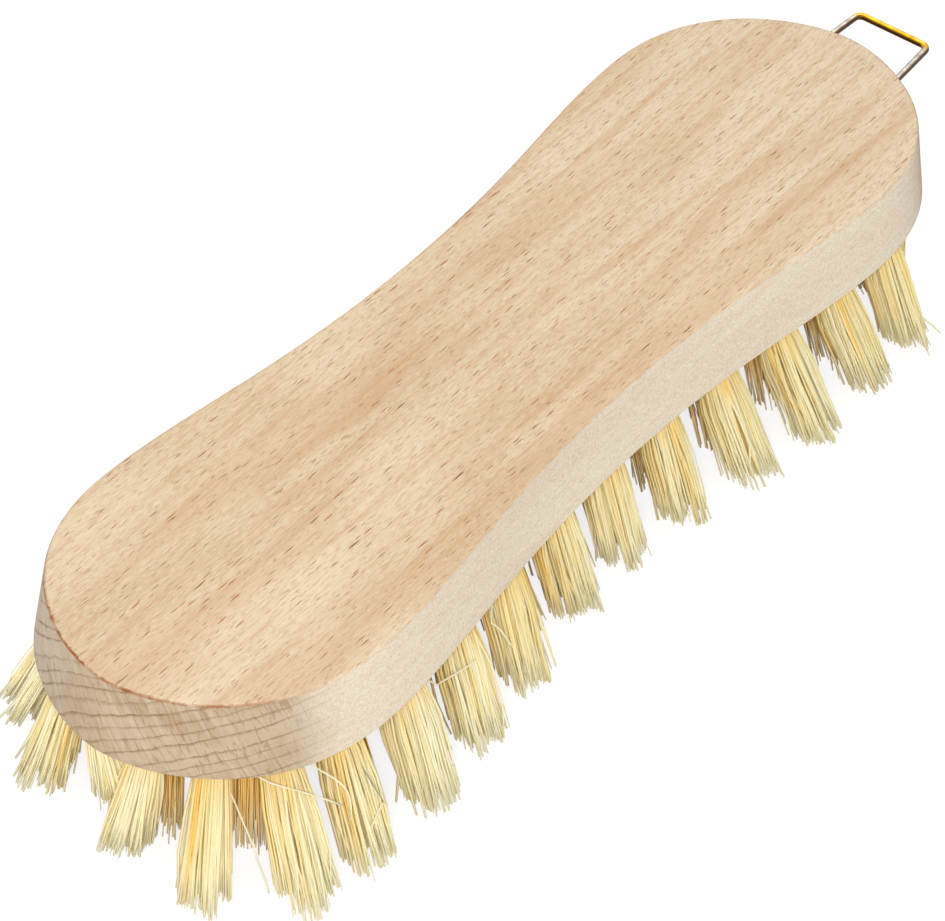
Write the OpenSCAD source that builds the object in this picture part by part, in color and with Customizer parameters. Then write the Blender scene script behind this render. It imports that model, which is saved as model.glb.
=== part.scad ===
// Scrub brush: a waisted hardwood block set with flared tufts of stiff plant fibre,
// with a wire hanging loop driven into the end grain. It stands on its bristle tips.
// Z is up, X runs along the block towards the hanging loop, and all sizes are millimetres.

/* [Wooden block] */
// Length of the flat top face
block_length = 211; // [180:1:250]
// Width of the top face across its two wide lobes
block_width = 60; // [56:0.5:70]
// Width of the top face at the waist
waist_width = 48.4; // [44:0.5:54]
// Thickness of the block, from sole to top face
block_thickness = 15; // [14:0.5:24]
// How far the sole stands out beyond the top face all round
wall_flare = 2.3; // [0:0.1:4]
// Radius of the rounded top edge
top_round = 0.6; // [0.3:0.1:2]
// Bevel of the edge round the sole
sole_bevel = 0.5; // [0.2:0.1:1.5]

/* [Outline of the block] */
// Distance from each end of the block to its widest place
lobe_to_end = 34; // [31:0.5:42]
// Reach of the curve across the blunt end
end_fullness = 8.6; // [4:0.1:16]
// Reach of the curve from the widest place towards the end
lobe_outer_fullness = 26; // [18:0.5:30]
// Reach of the curve from the widest place towards the waist
lobe_inner_fullness = 19.6; // [12:0.1:30]
// Reach of the curve on each side of the waist
waist_fullness = 34; // [20:0.5:40]

/* [Tuft holes] */
// Diameter of each drilled tuft hole
hole_d = 5.6; // [4.6:0.1:6.2]
// Depth of each tuft hole along its own axis
hole_depth = 7; // [6:0.1:8]
// Distance from the edge of the sole to the middle of an outer hole
outer_inset = 6.8; // [5.5:0.1:8]
// Distance between the outer row and the inner row
row_gap = 10.5; // [9.5:0.1:12]
// Distance past the widest place to the last tuft of a straight row
row_overrun = 7; // [4:0.5:9]
// Number of outer tufts along each long side
side_tufts = 11; // [9:1:12]
// Number of outer tufts round each end, between the long sides
end_tufts = 6; // [4:1:6]
// Number of inner tufts round each end, between the long sides
inner_end_tufts = 3; // [2:1:3]
// Lean of the outer holes along the long sides, in degrees
side_lean = 13; // [0:1:16]
// Lean of the outer holes at the two ends, in degrees
end_lean = 16; // [0:1:20]
// Lean of the inner holes, in degrees
inner_lean = 4; // [0:1:8]

/* [Bristles] */
// Height of the sole above the bristle tips
bristle_drop = 23; // [16:0.5:30]
// Flare of the outer tufts at the waist, in degrees
waist_flare = 19; // [12:1:24]
// Flare of the outer tufts at the widest places, in degrees
side_flare = 24; // [14:1:28]
// Flare of the outer tufts at the two ends, in degrees
end_flare = 21.5; // [16:1:32]
// Flare of the inner tufts, in degrees
inner_flare = 20; // [0:1:26]
// Number of bristle strands in a tuft
strands = 6; // [5:1:7]
// Spread of the outermost strand tips from the middle of their tuft
tip_spread = 4.1; // [3:0.1:4.4]
// Spread of the strands that stay near the middle of their tuft
core_spread = 1.9; // [1.2:0.1:2.4]
// Width of a strand at its tip
tip_w = 1.9; // [1:0.05:2.1]
// Most that a ragged strand falls short of the floor
tip_short = 1.6; // [0:0.1:3]
// Clearance round a tuft's folded root in its hole
tuft_clearance = 0.25; // [0.1:0.05:0.4]

/* [Tuft anchors] */
// Width of the flat anchor wire, along the hole
anchor_h = 2.2; // [1.4:0.1:2.8]
// Thickness of the flat anchor wire
anchor_t = 0.5; // [0.3:0.05:0.8]
// Thickness of the bristle fold above the anchor
fold_t = 1.2; // [0.8:0.1:1.8]
// Clearance between an anchor and what it touches
anchor_clearance = 0.1; // [0.05:0.05:0.3]

/* [Hanging loop] */
// Diameter of the loop's wire
wire_d = 1.4; // [1:0.1:2]
// Distance between the wire centres at the outer bar
loop_bar_w = 15.8; // [12:0.1:18]
// Distance between the wire centres where the legs enter the wood
loop_base_w = 17.4; // [13:0.1:19]
// Distance from the end of the block to the centre of the outer bar
loop_reach = 13.2; // [9:0.1:18]
// Distance from the end of the block to the inner end of each leg
leg_depth = 11; // [8:0.5:16]
// Bend radius of the loop's corners, to the wire centre
loop_bend_r = 1.6; // [1.2:0.1:3]
// Distance that the loop was driven in to one side of the middle
loop_shift = -1.1; // [-2:0.1:2]
// Clearance round the wire in its hole
wire_clearance = 0.1; // [0.05:0.05:0.2]
// Wood left between the tuft holes and the loop's holes
loop_cover = 0.4; // [0.3:0.1:1]

/* [Hidden] */

// Steps along the curve from the end to the widest place, and from there to the waist
end_steps = 20;
waist_steps = 15;
// Steps round the top edge
round_steps = 3;
// Facets round a wire and a drilled hole, and steps round each bend of the wire
wire_fn = 16;
hole_fn = 20;
bend_steps = 6;
// How far a cut runs past the face that it opens
cut_over = 2;
// Share of a strand's length at which its middle ring lies, and its pull towards the axis
strand_mid = 0.5;
strand_bow = 0.5;
// How far below the sole the root's prism ends, past the side that its lean lifts
root_exit = 0.6;
// Random spread of each strand tip along the floor
tip_scatter = 0.35;

// Heights above the floor
sole_z = bristle_drop;
top_z = sole_z + block_thickness;

// Outline of the top face, from the tip of the end to the middle of the waist
function bezier(a, b, c, d, t) =
    pow(1 - t, 3) * a + 3 * pow(1 - t, 2) * t * b + 3 * (1 - t) * t * t * c + pow(t, 3) * d;
lobe_place = block_length / 2 - lobe_to_end;
tip = [block_length / 2, 0];
tip_pull = [block_length / 2, end_fullness];
lobe = [lobe_place, block_width / 2];
lobe_pull_out = [lobe_place + lobe_outer_fullness, block_width / 2];
lobe_pull_in = [lobe_place - lobe_inner_fullness, block_width / 2];
waist_pull = [waist_fullness, waist_width / 2];
waist = [0, waist_width / 2];
quarter = concat(
    [for (i = [0 : end_steps]) bezier(tip, tip_pull, lobe_pull_out, lobe, i / end_steps)],
    [for (i = [1 : waist_steps]) bezier(lobe, lobe_pull_in, waist_pull, waist, i / waist_steps)]);

// The whole outline, anticlockwise from the tip, and its outward normals
last = len(quarter) - 1;
half = concat(quarter, [for (i = [last - 1 : -1 : 0]) [-quarter[i].x, quarter[i].y]]);
outline = concat(half, [for (i = [len(half) - 2 : -1 : 1]) [half[i].x, -half[i].y]]);
n_out = len(outline);
function outward(i) =
    let (d = outline[(i + 1) % n_out] - outline[(i + n_out - 1) % n_out])
    [d.y, -d.x] / norm(d);
normals = [for (i = [0 : n_out - 1]) outward(i)];
function grown(d) = [for (i = [0 : n_out - 1]) outline[i] + d * normals[i]];
// Offset of the side wall beyond the top outline, at a height above the floor
function wall_out(z) = wall_flare * (top_z - z) / block_thickness;

// Rows of tufts. A row follows the outline at an inset from the sole's edge, and it is
// measured as the distance along the row from the tip of the end.
function row_points(inset) = [for (i = [0 : last]) quarter[i] + (wall_flare - inset) * normals[i]];
function run_length(p, i) = i == 0 ? 0 : norm(p[i] - p[i - 1]) + run_length(p, i - 1);
function place(p, s) =
    let (d = abs(s), runs = [for (i = [0 : last]) run_length(p, i)],
         x = lookup(d, [for (i = [0 : last]) [runs[i], p[i].x]]),
         y = lookup(d, [for (i = [0 : last]) [runs[i], p[i].y]]),
         nx = lookup(d, [for (i = [0 : last]) [runs[i], normals[i].x]]),
         ny = lookup(d, [for (i = [0 : last]) [runs[i], normals[i].y]]),
         side = s < 0 ? -1 : 1)
    [[x, side * y], [nx, side * ny] / norm([nx, ny])];
function run_at_x(p, x) = lookup(x, [for (i = [last : -1 : 0]) [p[i].x, run_length(p, i)]]);
function turned(r, sx) = [[sx * r[0].x, r[0].y], [sx * r[1].x, r[1].y]];

row_reach = lobe_place + row_overrun;
side_pitch = 2 * row_reach / (side_tufts - 1);
outer_row = row_points(outer_inset);
inner_row = row_points(outer_inset + row_gap);

// Places along one quarter of a row, where x is not negative, and round one end
function side_xs(count) = [for (i = [0 : count - 1]) (i - (count - 1) / 2) * side_pitch];
function side_place(p, x, sy) =
    let (r = place(p, sy * run_at_x(p, abs(x)))) x < 0 ? turned(r, -1) : r;
function end_place(p, count, reach, k) =
    place(p, (k - (count - 1) / 2) * 2 * run_at_x(p, reach) / (count + 1));

outer_roots = concat(
    [for (x = side_xs(side_tufts)) side_place(outer_row, x, -1)],
    [for (k = [0 : end_tufts - 1]) end_place(outer_row, end_tufts, row_reach, k)],
    [for (x = side_xs(side_tufts)) side_place(outer_row, -x, 1)],
    [for (k = [0 : end_tufts - 1]) turned(end_place(outer_row, end_tufts, row_reach, k), -1)]);

// Inner tufts lie in pairs, one on each side of the middle line, with one at the tip of
// each end where the number round the end is odd
inner_xs = side_xs(side_tufts - 1);
inner_reach = row_reach - side_pitch / 2;
end_half = floor(inner_end_tufts / 2);
inner_ends = [for (k = [inner_end_tufts - end_half : inner_end_tufts - 1])
    end_place(inner_row, inner_end_tufts, inner_reach, k)];
inner_tips = inner_end_tufts % 2 == 0 ? [] : [place(inner_row, 0)];
function paired(r) = r[0].y == 0 ? [r] : [r, [[r[0].x, -r[0].y], [r[1].x, -r[1].y]]];
inner_groups = [for (r = concat(
    [for (x = inner_xs) side_place(inner_row, x, 1)],
    inner_ends, [for (r = inner_ends) turned(r, -1)],
    inner_tips, [for (r = inner_tips) turned(r, -1)])) paired(r)];
centre_roots = [for (x = side_xs(side_tufts)) [[x, 0], [1, 0]]];

// Each tuft is [place, outward direction, lean of its hole, outward travel of its tip, seed]
function by_end(n, at_side, at_end) = at_side + (at_end - at_side) * n.x * n.x;
function by_waist(x) = waist_flare + (side_flare - waist_flare) * min(1, pow(x / lobe_place, 2));
function outer_tuft_data(i) =
    let (r = outer_roots[i])
    [r[0], r[1], by_end(r[1], side_lean, end_lean),
     bristle_drop * tan(by_end(r[1], by_waist(r[0].x), end_flare)), i];
function inner_tuft_data(g, k) =
    let (r = inner_groups[g][k])
    [r[0], r[1], inner_lean, bristle_drop * tan(inner_flare), 100 + 2 * g + k];
function centre_tuft_data(i) = [centre_roots[i][0], centre_roots[i][1], 0, 0, 200 + i];
outer_data = [for (i = [0 : len(outer_roots) - 1]) outer_tuft_data(i)];
inner_data = [for (g = [0 : len(inner_groups) - 1])
    [for (k = [0 : len(inner_groups[g]) - 1]) inner_tuft_data(g, k)]];
centre_data = [for (i = [0 : len(centre_roots) - 1]) centre_tuft_data(i)];
all_tufts = concat(outer_data, [for (g = inner_data) each g], centre_data);

// A tuft's own directions: along its hole, across it, and outwards
function axis_of(t) = [t[1].x * sin(t[2]), t[1].y * sin(t[2]), -cos(t[2])];
function across_of(t) = [-t[1].y, t[1].x, 0];
function away_of(t) = [t[1].x * cos(t[2]), t[1].y * cos(t[2]), sin(t[2])];
function mouth_of(t) = [t[0].x, t[0].y, sole_z];

root_r = hole_d / 2 - tuft_clearance;
// The root leaves its hole far enough to clear the sole all round before it spreads
function exit_of(t) = mouth_of(t) + axis_of(t) * (root_r * tan(t[2]) + root_exit);
function root_ring(t, centre) =
    [for (k = [0 : strands - 1]) let (a = 360 * k / strands)
        centre + root_r * (cos(a) * across_of(t) + sin(a) * away_of(t))];

// The tip of strand k: a triangle on the floor, or a little above it on a ragged strand.
// Strands by turns reach the tuft's rim and stay near its core, so that none cross.
function tip_middle(t, k) =
    let (a = 360 * (k + 0.5) / strands,
         spread = k % 2 == 0 ? tip_spread : core_spread,
         r = rands(-1, 1, 3, 1000 + 31 * t[4] + k),
         flat = (spread * cos(a) + tip_scatter * r[0]) * across_of(t)
              + (t[3] + spread * sin(a) + tip_scatter * r[1]) * [t[1].x, t[1].y, 0])
    [t[0].x + flat.x, t[0].y + flat.y, max(0, tip_short * r[2])];
function tip_ring(t, k) =
    let (a = 360 * (k + 0.5) / strands,
         out = cos(a) * across_of(t) + sin(a) * [t[1].x, t[1].y, 0],
         side = -sin(a) * across_of(t) + cos(a) * [t[1].x, t[1].y, 0],
         m = tip_middle(t, k))
    [m - 0.5 * tip_w * out, m + 0.5 * tip_w * (out - side), m + 0.5 * tip_w * (out + side)];
function strand_root(t, k) =
    let (e = exit_of(t), ring = root_ring(t, e)) [e, ring[k], ring[(k + 1) % strands]];
function middle_ring(t, k) =
    let (r = strand_root(t, k), e = tip_ring(t, k), c = (r[0] + r[1] + r[2]) / 3,
         d = (e[0] + e[1] + e[2]) / 3 - c,
         bow = strand_bow * (axis_of(t) - d / norm(d)) * (d * axis_of(t)) / 4)
    [for (j = [0 : 2]) r[j] + (e[j] - r[j]) * strand_mid + bow];

// The whole part's reach along X, which the origin is the middle of
tuft_xs = [for (t = outer_data) for (k = [0 : strands - 1]) for (p = tip_ring(t, k)) p.x];
loop_hole_r = wire_d / 2 + wire_clearance;
// The loop's holes pass above the deepest corner of the leaning tuft holes
loop_z = sole_z + hole_depth * cos(end_lean) + hole_d / 2 * sin(end_lean) + loop_cover + loop_hole_r;
block_end = block_length / 2 + wall_out(loop_z);
bar_x = block_end + loop_reach;
low_x = min(concat(tuft_xs, [-block_length / 2 - wall_flare]));
high_x = max(concat(tuft_xs, [bar_x + wire_d / 2]));
origin_x = (low_x + high_x) / 2;

function padded(i) = i < 9 ? str("0", i + 1) : str(i + 1);
outer_names = [for (i = [0 : len(outer_data) - 1]) str("outer_tuft_", padded(i))];
inner_names = [for (g = [0 : len(inner_data) - 1]) str("inner_tufts_", padded(g))];

// The block is a stack of outlines: a bevelled sole, a flared wall and a rounded top edge
block_levels = concat(
    [[sole_z, wall_out(sole_z) - sole_bevel]],
    [[sole_z + sole_bevel, wall_out(sole_z + sole_bevel)]],
    [for (k = [0 : round_steps])
        let (a = 90 * k / round_steps, z = top_z - top_round * (1 - sin(a)))
        [z, wall_out(z) - top_round * (1 - cos(a))]]);

module lofted(levels) {
    rings = len(levels);
    points = [for (l = levels) for (p = grown(l[1])) [p.x, p.y, l[0]]];
    // The caps are cut into strips that run straight across the block
    caps = [for (i = [0 : n_out / 2 - 1])
        let (a = i, b = i + 1, c = (n_out - i - 1) % n_out, d = (n_out - i) % n_out) [a, b, c, d]];
    top = (rings - 1) * n_out;
    faces = concat(
        [for (r = [0 : rings - 2]) for (i = [0 : n_out - 1])
            let (j = (i + 1) % n_out, a = r * n_out)
            each [[a + i, a + n_out + i, a + j], [a + j, a + n_out + i, a + n_out + j]]],
        [for (q = caps) each [
            if (q[1] != q[2]) [q[0], q[1], q[2]],
            if (q[0] != q[3]) [q[0], q[2], q[3]],
            if (q[1] != q[2]) [top + q[0], top + q[2], top + q[1]],
            if (q[0] != q[3]) [top + q[0], top + q[3], top + q[2]]]]);
    polyhedron(points = points, faces = faces, convexity = 4);
}

// Turns a shape drawn down the Z axis, with X across, to lie along a tuft's hole
module at_tuft(t) {
    bearing = atan2(t[1].y, t[1].x);
    translate(mouth_of(t))
        rotate([0, 0, bearing - 90])
            rotate([t[2], 0, 0])
                children();
}

module tuft_hole(t) {
    at_tuft(t)
        translate([0, 0, -cut_over])
            cylinder(d = hole_d, h = hole_depth + cut_over, $fn = hole_fn);
}

// Seen from above, the loop's legs toe in from the wood to the outer bar
toe_in = atan2((loop_base_w - loop_bar_w) / 2, loop_reach);
module leg_hole(side) {
    translate([block_end, loop_shift + side * loop_base_w / 2, loop_z])
        rotate([0, 0, -side * toe_in])
            translate([-leg_depth - wire_clearance, 0, 0])
                rotate([0, 90, 0])
                    cylinder(r = loop_hole_r, h = leg_depth + wire_clearance + cut_over,
                        $fn = hole_fn);
}

module brush_block() {
    color("burlywood")
        translate([-origin_x, 0, 0])
            difference() {
                lofted(block_levels);
                for (t = all_tufts)
                    tuft_hole(t);
                for (side = [-1, 1])
                    leg_hole(side);
            }
}

// The wire's line, as places and headings, from the inner end of one leg to that of the other.
// Each corner turns through a little less than a right angle, because the legs toe in.
corner_turn = 90 - toe_in;
corner_run = loop_bend_r * tan(corner_turn / 2);
function leg_end(side) =
    [block_end - leg_depth * cos(toe_in),
     loop_shift + side * (loop_base_w / 2 + leg_depth * sin(toe_in))];
function bend_place(side, a) =
    [bar_x - loop_bend_r + loop_bend_r * cos(a),
     loop_shift + side * (loop_bar_w / 2 - corner_run + loop_bend_r * sin(a))];
wire_line = concat(
    [[leg_end(-1), toe_in]],
    [for (k = [bend_steps : -1 : 0])
        let (a = corner_turn * k / bend_steps) [bend_place(-1, a), 90 - a]],
    [for (k = [0 : bend_steps])
        let (a = corner_turn * k / bend_steps) [bend_place(1, a), 90 + a]],
    [[leg_end(1), 180 - toe_in]]);

module hanging_loop() {
    rings = len(wire_line);
    points = [for (w = wire_line) for (k = [0 : wire_fn - 1])
        let (a = 360 * k / wire_fn, out = wire_d / 2 * cos(a))
        [w[0].x + out * sin(w[1]), w[0].y - out * cos(w[1]), loop_z + wire_d / 2 * sin(a)]];
    faces = concat(
        [[for (k = [wire_fn - 1 : -1 : 0]) k]],
        [for (r = [0 : rings - 2]) for (k = [0 : wire_fn - 1])
            let (a = r * wire_fn, m = (k + 1) % wire_fn)
            each [[a + k, a + m, a + wire_fn + k], [a + m, a + wire_fn + m, a + wire_fn + k]]],
        [[for (k = [0 : wire_fn - 1]) (rings - 1) * wire_fn + k]]);
    color("goldenrod")
        translate([-origin_x, 0, 0])
            polyhedron(points = points, faces = faces, convexity = 4);
}

// An anchor lies across its hole, inside the fold of the bristles
anchor_len = hole_d - 2 * anchor_clearance;
anchor_deep = hole_depth - tuft_clearance - fold_t;
module anchor_block(length, extra) {
    translate([-length / 2, -anchor_t / 2 - extra, anchor_deep - anchor_h - extra])
        cube([length, anchor_t + 2 * extra, anchor_h + 2 * extra]);
}

module tuft_anchors() {
    color("silver")
        translate([-origin_x, 0, 0])
            for (t = all_tufts)
                at_tuft(t)
                    anchor_block(anchor_len, 0);
}

// One tuft: its folded root is a prism, and each wedge of the root's end runs out into a strand
module tuft(t) {
    deep = mouth_of(t) - axis_of(t) * (hole_depth - tuft_clearance);
    s = strands;
    points = concat(
        root_ring(t, deep), [deep],
        root_ring(t, exit_of(t)), [exit_of(t)],
        [for (k = [0 : s - 1]) each middle_ring(t, k)],
        [for (k = [0 : s - 1]) each tip_ring(t, k)]);
    exit_at = s + 1;
    middle_at = 2 * s + 2;
    tip_at = middle_at + 3 * s;
    function root_index(k, j) = exit_at + (j == 0 ? s : (k + j - 1) % s);
    function skin(a, b, c, d) = [[a, c, b], [b, c, d]];
    faces = concat(
        [for (k = [0 : s - 1]) [s, k, (k + 1) % s]],
        [for (k = [0 : s - 1]) each skin(k, (k + 1) % s, exit_at + k, exit_at + (k + 1) % s)],
        [for (k = [0 : s - 1]) for (j = [0 : 2])
            let (m = (j + 1) % 3, a = middle_at + 3 * k)
            each skin(root_index(k, j), root_index(k, m), a + j, a + m)],
        [for (k = [0 : s - 1]) for (j = [0 : 2])
            let (m = (j + 1) % 3, a = middle_at + 3 * k, b = tip_at + 3 * k)
            each skin(a + j, a + m, b + j, b + m)],
        [for (k = [0 : s - 1]) let (b = tip_at + 3 * k) [b, b + 2, b + 1]]);
    translate([-origin_x, 0, 0])
        difference() {
            polyhedron(points = points, faces = faces, convexity = 6);
            at_tuft(t)
                anchor_block(hole_d + cut_over, anchor_clearance);
        }
}

module outer_tuft(i) {
    color("palegoldenrod") tuft(outer_data[i]);
}

module inner_tufts(g) {
    color("khaki")
        for (t = inner_data[g])
            tuft(t);
}

module centre_tufts() {
    color("khaki")
        for (t = centre_data)
            tuft(t);
}

brush_block();
hanging_loop();
tuft_anchors();
centre_tufts();
for (i = [0 : len(outer_names) - 1]) {
    outer_tuft(i);
}
for (g = [0 : len(inner_names) - 1]) {
    inner_tufts(g);
}
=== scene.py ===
"""Scrub brush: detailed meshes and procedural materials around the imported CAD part.

Lengths of the brush are in millimetres, with X from the middle of the block, until to_cad()
turns them into metres in the part's own frame. Materials work in millimetres of that frame.
The floor and the lamps are placed in metres.
"""

import math

import bpy
import numpy as np
from mathutils import Matrix, Vector

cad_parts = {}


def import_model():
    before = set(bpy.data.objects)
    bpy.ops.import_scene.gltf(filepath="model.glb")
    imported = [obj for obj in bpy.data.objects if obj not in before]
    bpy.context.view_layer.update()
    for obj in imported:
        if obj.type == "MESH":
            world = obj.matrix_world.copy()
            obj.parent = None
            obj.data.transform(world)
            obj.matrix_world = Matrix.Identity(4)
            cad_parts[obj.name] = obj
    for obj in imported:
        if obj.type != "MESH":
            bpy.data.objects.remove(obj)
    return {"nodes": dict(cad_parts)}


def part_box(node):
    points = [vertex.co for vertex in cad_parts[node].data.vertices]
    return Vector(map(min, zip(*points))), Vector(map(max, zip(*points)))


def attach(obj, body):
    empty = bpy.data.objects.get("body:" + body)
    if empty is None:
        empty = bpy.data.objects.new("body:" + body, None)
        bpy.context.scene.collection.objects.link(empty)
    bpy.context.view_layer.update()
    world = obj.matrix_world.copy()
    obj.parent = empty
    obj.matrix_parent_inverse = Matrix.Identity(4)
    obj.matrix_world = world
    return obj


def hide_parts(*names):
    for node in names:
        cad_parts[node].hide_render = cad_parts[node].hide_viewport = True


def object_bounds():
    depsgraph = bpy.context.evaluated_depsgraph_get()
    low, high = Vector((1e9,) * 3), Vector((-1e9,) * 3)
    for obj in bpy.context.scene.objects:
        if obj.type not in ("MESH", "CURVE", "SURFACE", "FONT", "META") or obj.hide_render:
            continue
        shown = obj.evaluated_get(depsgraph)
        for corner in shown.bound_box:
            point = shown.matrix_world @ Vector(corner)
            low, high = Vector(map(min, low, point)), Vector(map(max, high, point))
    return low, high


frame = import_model()


def as_list(box):
    return [[float(c) for c in corner] for corner in box]


CAD_BOX = as_list(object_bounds())
MM = 0.001

# The CAD part's block
SOLE, THICK = 23.0, 15.0
TOP = SOLE + THICK
WALL_FLARE, TOP_ROUND, SOLE_BEVEL = 2.3, 0.6, 0.5
HALF_LENGTH, HALF_WIDTH, HALF_WAIST, LOBE_X = 105.5, 30.0, 24.2, 71.5
END_FULLNESS, WAIST_FULLNESS = 8.6, 34
LOBE_OUTER_FULLNESS, LOBE_INNER_FULLNESS = 26, 19.6
block_low, block_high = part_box("brush_block")
ORIGIN_X = -(block_low.x + block_high.x) / 2 / MM

# Its tuft holes, and the leans and flares of its tufts in degrees
HOLE_R, HOLE_DEPTH = 2.8, 7.0
OUTER_INSET, ROW_GAP, ROW_REACH = 6.8, 10.5, 78.5
SIDE_TUFTS, END_TUFTS, INNER_END_TUFTS = 11, 6, 3
SIDE_LEAN, END_LEAN, INNER_LEAN = 13.0, 16.0, 4.0
WAIST_FLARE, SIDE_FLARE, END_FLARE, INNER_FLARE = 19.0, 24.0, 21.5, 20.0

# Its hanging loop
WIRE_R, WIRE_CLEARANCE, BEND_R = 0.7, 0.1, 1.6
BAR_W, BASE_W, REACH, LEG_DEPTH = 15.8, 17.4, 13.2, 11.0
LOOP_Y, LOOP_Z = -1.1, 31.7006
TOE = math.atan2((BASE_W - BAR_W) / 2, REACH)


# ---- small helpers
def to_cad(points):
    p = np.array(points, float)
    p[..., 0] -= ORIGIN_X
    return p * MM


def circle(sides):
    """The angles of a ring's corners."""
    return 2 * math.pi * np.arange(sides) / sides


def make_mesh(name, verts, faces, smooth_faces=True, zones=None):
    mesh = bpy.data.meshes.new(name)
    mesh.from_pydata(np.asarray(verts, float).tolist(), [], faces)
    mesh.update()
    if smooth_faces:
        mesh.polygons.foreach_set("use_smooth", [True] * len(mesh.polygons))
    if zones is not None:
        layer = mesh.color_attributes.new("zones", "FLOAT_COLOR", "POINT")
        layer.data.foreach_set("color", np.asarray(zones, np.float32).ravel())
    obj = bpy.data.objects.new(name, mesh)
    bpy.context.scene.collection.objects.link(obj)
    return obj


# ---- outline and rows, as in the part's source
def bezier(a, b, c, d, t):
    t = np.asarray(t)[:, None]
    a, b, c, d = (np.array(p, float) for p in (a, b, c, d))
    return (1 - t) ** 3 * a + 3 * (1 - t) ** 2 * t * b + 3 * (1 - t) * t * t * c + t ** 3 * d


def quarter_outline(end_steps, waist_steps):
    """From the tip of the end past the widest place to the middle of the waist."""
    tip = bezier((HALF_LENGTH, 0), (HALF_LENGTH, END_FULLNESS),
                 (LOBE_X + LOBE_OUTER_FULLNESS, HALF_WIDTH), (LOBE_X, HALF_WIDTH),
                 np.linspace(0, 1, end_steps + 1))
    waist = bezier((LOBE_X, HALF_WIDTH), (LOBE_X - LOBE_INNER_FULLNESS, HALF_WIDTH),
                   (WAIST_FULLNESS, HALF_WAIST), (0, HALF_WAIST),
                   np.linspace(0, 1, waist_steps + 1))
    return np.vstack([tip, waist[1:]])


def whole_outline(q):
    left = q[-2::-1] * [-1, 1]
    half = np.vstack([q, left])
    return np.vstack([half, half[-2:0:-1] * [1, -1]])


def outward_normals(outline):
    d = np.roll(outline, -1, 0) - np.roll(outline, 1, 0)
    n = np.stack([d[:, 1], -d[:, 0]], 1)
    return n / np.linalg.norm(n, axis=1)[:, None]


def wall_out(z):
    """How far the side wall stands out beyond the top face at a height."""
    return WALL_FLARE * (TOP - z) / THICK


quarter = quarter_outline(20, 15)
quarter_normals = outward_normals(whole_outline(quarter))[:len(quarter)]


class Row:
    """A row of tufts, a set distance in from the edge of the sole."""

    def __init__(self, inset):
        self.p = quarter + (WALL_FLARE - inset) * quarter_normals
        steps = np.linalg.norm(np.diff(self.p, axis=0), axis=1)
        self.run = np.concatenate([[0], np.cumsum(steps)])

    def place(self, s):
        """Point and outward direction at a distance from the tip, negative towards -Y."""
        d, side = abs(s), -1 if s < 0 else 1
        x, y = np.interp(d, self.run, self.p[:, 0]), np.interp(d, self.run, self.p[:, 1])
        nx = np.interp(d, self.run, quarter_normals[:, 0])
        ny = np.interp(d, self.run, quarter_normals[:, 1])
        n = np.array([nx, ny * side])
        return np.array([x, y * side]), n / np.linalg.norm(n)

    def run_at(self, x):
        return np.interp(x, self.p[::-1, 0], self.run[::-1])

    def side(self, x, sy):
        p, n = self.place(sy * self.run_at(abs(x)))
        return (p, n) if x >= 0 else (p * [-1, 1], n * [-1, 1])

    def end(self, count, reach, k):
        return self.place((k - (count - 1) / 2) * 2 * self.run_at(reach) / (count + 1))


PITCH = 2 * ROW_REACH / (SIDE_TUFTS - 1)


def side_xs(count):
    return [(i - (count - 1) / 2) * PITCH for i in range(count)]


def turned(place):
    """The same place at the other end."""
    return place[0] * [-1, 1], place[1] * [-1, 1]


def mirrored(place):
    """The same place on the other long side."""
    return place[0] * [1, -1], place[1] * [1, -1]


outer_row, inner_row = Row(OUTER_INSET), Row(OUTER_INSET + ROW_GAP)
outer_places = (
    [outer_row.side(x, -1) for x in side_xs(SIDE_TUFTS)]
    + [outer_row.end(END_TUFTS, ROW_REACH, k) for k in range(END_TUFTS)]
    + [outer_row.side(-x, 1) for x in side_xs(SIDE_TUFTS)]
    + [turned(outer_row.end(END_TUFTS, ROW_REACH, k)) for k in range(END_TUFTS)])
inner_end = inner_row.end(INNER_END_TUFTS, ROW_REACH - PITCH / 2, INNER_END_TUFTS - 1)
inner_tip = inner_row.place(0)
inner_pairs = [inner_row.side(x, 1) for x in side_xs(SIDE_TUFTS - 1)]
inner_pairs += [inner_end, turned(inner_end)]
inner_places = [[r, mirrored(r)] for r in inner_pairs] + [[inner_tip], [turned(inner_tip)]]
centre_places = [(np.array([x, 0.0]), np.array([1.0, 0.0])) for x in side_xs(SIDE_TUFTS)]


# ---- tufts: the place on the sole, the outward direction, the hole's lean in degrees, and how
# far outwards the tips lie
def by_end(n, at_side, at_end):
    return at_side + (at_end - at_side) * n[0] ** 2


def tip_travel(flare):
    return SOLE * math.tan(math.radians(flare))


def outer_tuft(place):
    p, n = place
    flare = WAIST_FLARE + (SIDE_FLARE - WAIST_FLARE) * min(1, (p[0] / LOBE_X) ** 2)
    return p, n, by_end(n, SIDE_LEAN, END_LEAN), tip_travel(by_end(n, flare, END_FLARE))


outer_tufts = [outer_tuft(p) for p in outer_places]
inner_tufts = [[(p, n, INNER_LEAN, tip_travel(INNER_FLARE)) for p, n in g]
               for g in inner_places]
centre_tufts = [(p, n, 0.0, 0.0) for p, n in centre_places]
every_tuft = outer_tufts + [t for g in inner_tufts for t in g] + centre_tufts

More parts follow.
